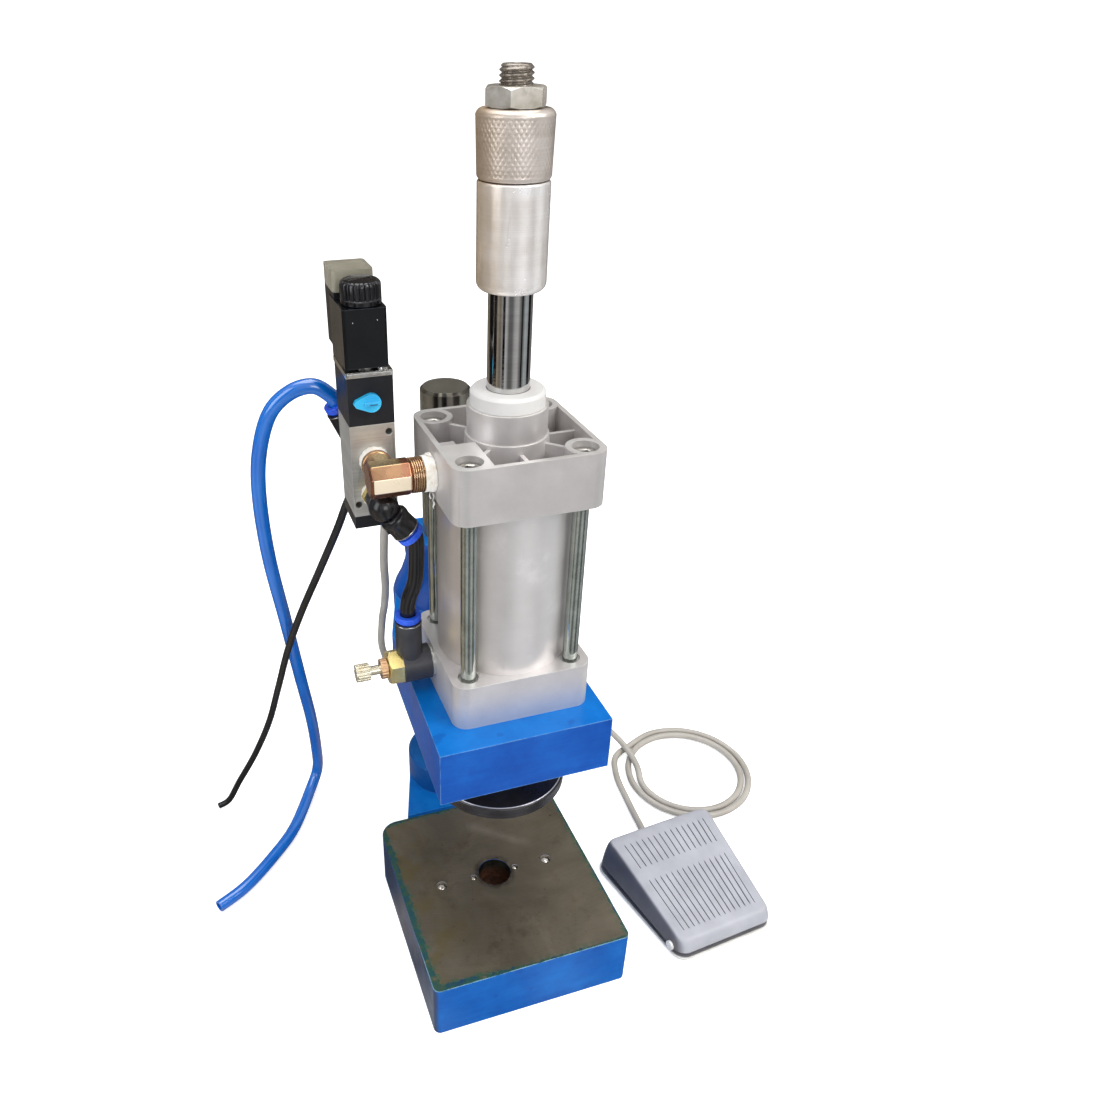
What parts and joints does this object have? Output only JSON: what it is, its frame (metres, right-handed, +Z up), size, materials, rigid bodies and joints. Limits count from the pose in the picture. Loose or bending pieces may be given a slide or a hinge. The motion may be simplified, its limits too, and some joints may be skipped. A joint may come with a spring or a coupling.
{
  "type": "pneumatic arbor press",
  "caption": "Small column arbor press with a tie-rod air cylinder ram, adjustable stop, side solenoid valve, speed control and a cabled foot switch.",
  "frame": {"origin": "on the bench plane, on the ram axis and the axis of the through hole in the table", "axes": "+X to the right seen from the front, +Y to the rear towards the column, +Z up along the ram"},
  "size_m": [0.4127, 0.2472, 0.4967],
  "materials": {
    "blue_casting": "brush-painted gloss over rough casting, bare machined faces",
    "ground_steel": "ground",
    "black_oxide": "black oxide",
    "zinc_steel": "zinc plated",
    "cast_aluminium": "die cast",
    "satin_aluminium": "satin anodised",
    "plated_rod": "plated, drawn",
    "seal_rubber": "matt",
    "bronze": "forged copper-brown",
    "chrome_rod": "hard chrome, mirror",
    "white_plastic": "satin",
    "black_disc": "blackened",
    "turned_steel": "turned satin",
    "black_plastic": "fine moulded",
    "cyan_plastic": "gloss",
    "bright_steel": "bright",
    "smoky_cover": "smoky clear plastic",
    "white_tape": "wrapped tape",
    "yellow_brass": "turned",
    "blue_plastic": "gloss",
    "black_tube": "gloss tubing",
    "blue_hose": "slightly clear tubing",
    "black_cable": "satin sheath",
    "grey_cable": "satin sheath",
    "grey_plastic": "fine grained"
  },
  "bodies": {
    "frame": {"base_casting": "blue_casting", "column": "ground_steel", "base_set_screw": "black_oxide", "pedal_base": "grey_plastic", "pedal_pin": "bright_steel", "pedal_spring": "zinc_steel", "pedal_switch": "black_plastic"},
    "head": {"head_casting": "blue_casting", "head_clamp_bolts": "zinc_steel", "bottom_cover": "cast_aluminium", "barrel_tube": "satin_aluminium", "top_cover": "cast_aluminium", "tie_rods": "plated_rod", "tie_rod_nuts": "zinc_steel", "cylinder_screws": "black_oxide", "barrel_o_rings": "seal_rubber", "rod_bushes": "bronze", "rod_seals": "seal_rubber", "bumper_ring": "white_plastic", "valve_body": "satin_aluminium", "valve_end_cap": "black_plastic", "pilot_block": "black_plastic", "coil_bracket": "bright_steel", "coil_housing": "black_plastic", "armature_tube": "bright_steel", "coil_nut": "black_plastic", "connector_base": "black_plastic", "connector_cover": "smoky_cover", "cable_gland": "black_plastic", "brass_elbow": "bronze", "thread_tape": "white_tape", "elbow_stud": "yellow_brass", "swivel_elbow": "black_plastic", "link_tube": "black_tube", "speed_controller_body": "black_plastic", "speed_controller_bolt": "yellow_brass", "inlet_fitting": "black_plastic", "exhaust_silencers": "bronze", "air_hose": "blue_hose", "power_cable": "black_cable", "pedal_cable": "grey_cable"},
    "ram": {"piston_rod": "chrome_rod", "piston": "satin_aluminium", "piston_seals": "seal_rubber", "press_disc": "black_disc", "disc_screw": "black_oxide"},
    "stop": {"stop_sleeve": "turned_steel"},
    "adjuster": {"knurled_nut": "turned_steel", "lock_nut": "zinc_steel"},
    "spool": {"valve_spool": "turned_steel"},
    "plunger": {"armature_plunger": "turned_steel"},
    "override": {"manual_override": "cyan_plastic"},
    "needle": {"needle_screw": "yellow_brass"},
    "needle_lock": {"needle_lock_ring": "bronze"},
    "upper_collar": {"upper_release_ring": "blue_plastic"},
    "lower_collar": {"lower_release_ring": "blue_plastic"},
    "inlet_collar": {"inlet_release_ring": "blue_plastic"},
    "treadle": {"pedal_cover": "grey_plastic"},
    "switch_button": {"switch_plunger": "blue_plastic"}
  },
  "joints": [
    {"name": "head_height", "type": "slide", "parent": "frame", "child": "head", "axis": [0, 0, 1], "range_m": [-0.03, 0.06], "deforming": ["air_hose", "power_cable", "pedal_cable"]},
    {"name": "ram_stroke", "type": "slide", "parent": "head", "child": "ram", "axis": [0, 0, -1], "range_m": [0, 0.044]},
    {"name": "stop_travel", "type": "slide", "parent": "ram", "child": "stop", "axis": [0, 0, 1], "range_m": [-0.0039, 0.0039]},
    {"name": "stop_turn", "type": "hinge", "parent": "stop", "child": "adjuster", "pos_m": [0, 0, 0.47], "axis": [0, 0, 1], "range_deg": [-720, 720]},
    {"name": "spool_shift", "type": "slide", "parent": "head", "child": "spool", "axis": [0, 0, 1], "range_m": [0, 0.003]},
    {"name": "plunger_lift", "type": "slide", "parent": "head", "child": "plunger", "axis": [0, 0, 1], "range_m": [0, 0.0025]},
    {"name": "override_turn", "type": "hinge", "parent": "head", "child": "override", "pos_m": [-0.0605, 0.02, 0.3582], "axis": [0, -1, 0], "range_deg": [0, 90]},
    {"name": "needle_turn", "type": "hinge", "parent": "head", "child": "needle", "pos_m": [-0.06, 0.006, 0.2138], "axis": [-1, 0, 0], "range_deg": [-720, 720]},
    {"name": "needle_lock_turn", "type": "hinge", "parent": "head", "child": "needle_lock", "pos_m": [-0.064, 0.006, 0.2138], "axis": [-1, 0, 0], "range_deg": [-180, 180]},
    {"name": "upper_collar_push", "type": "slide", "parent": "head", "child": "upper_collar", "axis": [-0.6018, 0, 0.7986], "range_m": [0, 0.001]},
    {"name": "lower_collar_push", "type": "slide", "parent": "head", "child": "lower_collar", "axis": [0, 0, -1], "range_m": [0, 0.001]},
    {"name": "inlet_collar_push", "type": "slide", "parent": "head", "child": "inlet_collar", "axis": [0.4067, 0, -0.9135], "range_m": [0, 0.001]},
    {"name": "treadle_hinge", "type": "hinge", "parent": "frame", "child": "treadle", "pos_m": [0.13354, -0.06136, 0.008], "axis": [-0.9962, -0.0872, 0], "range_deg": [0, 2.8], "deforming": ["pedal_spring"]},
    {"name": "switch_press", "type": "slide", "parent": "frame", "child": "switch_button", "axis": [0, 0, -1], "range_m": [0, 0.0023]}
  ],
  "couplings": [
    {"joint": "stop_turn", "follows": "stop_travel", "rad_per_m": 3141.6},
    {"joint": "switch_press", "follows": "treadle_hinge", "m_per_rad": 0.042}
  ]
}
